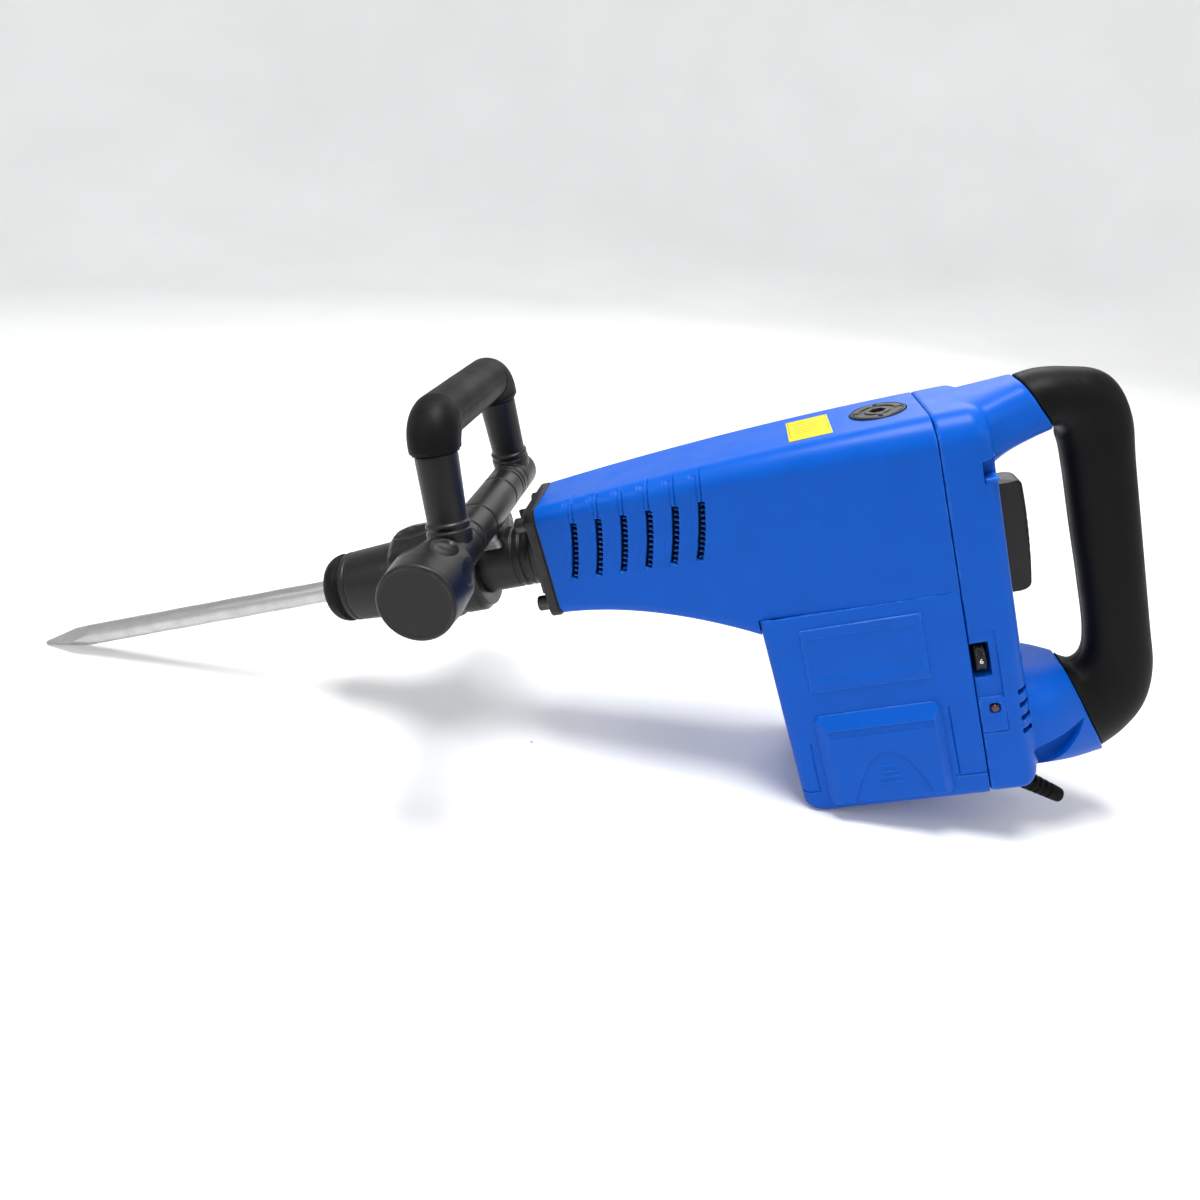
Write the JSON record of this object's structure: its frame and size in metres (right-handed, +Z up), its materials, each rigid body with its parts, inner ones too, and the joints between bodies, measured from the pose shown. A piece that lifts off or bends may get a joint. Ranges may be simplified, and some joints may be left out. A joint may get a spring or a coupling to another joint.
{
  "type": "electric demolition hammer",
  "caption": "Electric demolition hammer with an L-shaped body, pointed chisel, quick-lock sleeve, D rear grip and a clamp-on front loop handle.",
  "frame": {"origin": "centre of the bounding box's base, with the tool lying on its chisel point and the front lower edge of its motor housing", "axes": "+X from the chisel point to the rear grip, +Y across the tool towards its right side, +Z up"},
  "size_m": [0.8768, 0.2642, 0.3317],
  "materials": {
    "blue_shell": "satin, fine moulded grain",
    "black_plastic": "satin",
    "rubber": "matte, fine grain",
    "chisel_steel": "forged and ground",
    "dark_steel": "blackened",
    "bright_steel": "machined",
    "aluminium": "cast",
    "copper": "turned",
    "brass": "satin",
    "yellow_film": "blank film"
  },
  "bodies": {
    "housing": {"front_housing": "black_plastic", "front_bolt_1": "dark_steel", "front_bolt_2": "dark_steel", "front_bolt_3": "dark_steel", "front_bolt_4": "dark_steel", "barrel_housing": "blue_shell", "motor_housing": "blue_shell", "rear_housing": "blue_shell", "rear_screw_1": "dark_steel", "rear_screw_2": "dark_steel", "rear_screw_3": "dark_steel", "rear_screw_4": "dark_steel", "rear_grip": "rubber", "switch_body": "black_plastic", "indicator_lamp": "black_plastic", "cord_boot": "rubber", "name_panel_left": "blue_shell", "name_panel_right": "blue_shell", "top_label": "yellow_film", "oil_seal": "rubber", "cylinder": "bright_steel", "crank_bearing": "bright_steel", "gear_plate": "aluminium", "bearing_upper": "bright_steel", "bearing_lower": "bright_steel", "stator": "dark_steel", "brush_holder_left": "brass", "brush_holder_right": "brass", "control_board": "black_plastic"},
    "holder": {"tool_holder": "dark_steel", "index_ring": "black_plastic", "locking_segment_upper": "bright_steel", "locking_segment_lower": "bright_steel", "dust_cap": "rubber"},
    "sleeve": {"locking_sleeve": "black_plastic", "sleeve_spring": "bright_steel"},
    "chisel": {"chisel": "chisel_steel"},
    "clamp": {"clamp_band": "dark_steel", "handle_bar": "black_plastic", "clamp_bolt": "dark_steel"},
    "loop": {"loop_leg_near": "black_plastic", "loop_leg_far": "black_plastic", "loop_grip": "rubber"},
    "knob": {"knob": "black_plastic"},
    "paddle": {"switch_paddle": "black_plastic"},
    "dial": {"speed_dial": "black_plastic"},
    "oil_cap": {"oil_cap": "black_plastic"},
    "cover_left": {"service_cover_left": "blue_shell"},
    "cover_right": {"service_cover_right": "blue_shell"},
    "armature": {"armature": "dark_steel", "commutator": "copper", "fan": "black_plastic"},
    "crank": {"crank_wheel": "bright_steel"},
    "piston": {"piston": "bright_steel", "wrist_pin": "bright_steel", "connecting_rod": "dark_steel"},
    "striker": {"striker": "bright_steel"},
    "impact_bolt": {"impact_bolt": "bright_steel"},
    "brush_left": {"brush_left": "dark_steel"},
    "brush_right": {"brush_right": "dark_steel"}
  },
  "joints": [
    {"name": "holder_index", "type": "hinge", "parent": "housing", "child": "holder", "pos_m": [-0.002, 0.0269, 0.15312], "axis": [0.9445, 0, 0.3285], "range_deg": [-165, 165]},
    {"name": "sleeve_release", "type": "slide", "parent": "holder", "child": "sleeve", "axis": [0.9445, 0, 0.3285], "range_m": [0, 0.008], "stiffness_N_per_m": 1500, "springref_m": -0.002},
    {"name": "chisel_travel", "type": "slide", "parent": "holder", "child": "chisel", "axis": [-0.9445, 0, -0.3285], "range_m": [0, 0.018]},
    {"name": "clamp_swivel", "type": "hinge", "parent": "housing", "child": "clamp", "pos_m": [-0.002, 0.0269, 0.15312], "axis": [0.9445, 0, 0.3285], "range_deg": [-180, 180]},
    {"name": "loop_tilt", "type": "hinge", "parent": "clamp", "child": "loop", "pos_m": [-0.05041, 0.0269, 0.17969], "axis": [0, 1, 0], "range_deg": [-50, 40]},
    {"name": "knob_turn", "type": "hinge", "parent": "clamp", "child": "knob", "pos_m": [-0.05041, -0.1031, 0.17969], "axis": [0, 1, 0], "continuous": true},
    {"name": "paddle_press", "type": "slide", "parent": "housing", "child": "paddle", "axis": [-0.9445, 0, -0.3285], "range_m": [0, 0.005], "stiffness_N_per_m": 900, "springref_m": -0.001},
    {"name": "dial_turn", "type": "hinge", "parent": "housing", "child": "dial", "pos_m": [0.30577, -0.0151, 0.13946], "axis": [0.9445, 0, 0.3285], "range_deg": [0, 270]},
    {"name": "oil_cap_turn", "type": "hinge", "parent": "housing", "child": "oil_cap", "pos_m": [0.22006, 0.0269, 0.28329], "axis": [-0.3285, 0, 0.9445], "range_deg": [0, 360]},
    {"name": "cover_left_lift", "type": "slide", "parent": "housing", "child": "cover_left", "axis": [0, -1, 0], "range_m": [0, 0.012]},
    {"name": "cover_right_lift", "type": "slide", "parent": "housing", "child": "cover_right", "axis": [0, 1, 0], "range_m": [0, 0.012]},
    {"name": "armature_spin", "type": "hinge", "parent": "housing", "child": "armature", "pos_m": [0.25228, 0.0269, 0.10391], "axis": [-0.3285, 0, 0.9445], "continuous": true},
    {"name": "crank_spin", "type": "hinge", "parent": "housing", "child": "crank", "pos_m": [0.17409, 0.0269, 0.1826], "axis": [-0.3285, 0, 0.9445], "continuous": true},
    {"name": "piston_stroke", "type": "slide", "parent": "housing", "child": "piston", "axis": [-0.9445, 0, -0.3285], "range_m": [0, 0.03]},
    {"name": "striker_travel", "type": "slide", "parent": "housing", "child": "striker", "axis": [0.9445, 0, 0.3285], "range_m": [0, 0.022]},
    {"name": "impact_bolt_travel", "type": "slide", "parent": "housing", "child": "impact_bolt", "axis": [0.9445, 0, 0.3285], "range_m": [0, 0.006]},
    {"name": "brush_left_wear", "type": "slide", "parent": "housing", "child": "brush_left", "axis": [0, -1, 0], "range_m": [0, 0.004], "stiffness_N_per_m": 80, "springref_m": -0.002},
    {"name": "brush_right_wear", "type": "slide", "parent": "housing", "child": "brush_right", "axis": [0, 1, 0], "range_m": [0, 0.004], "stiffness_N_per_m": 80, "springref_m": -0.002}
  ],
  "couplings": [
    {"joint": "crank_spin", "follows": "armature_spin", "ratio": -0.2}
  ]
}
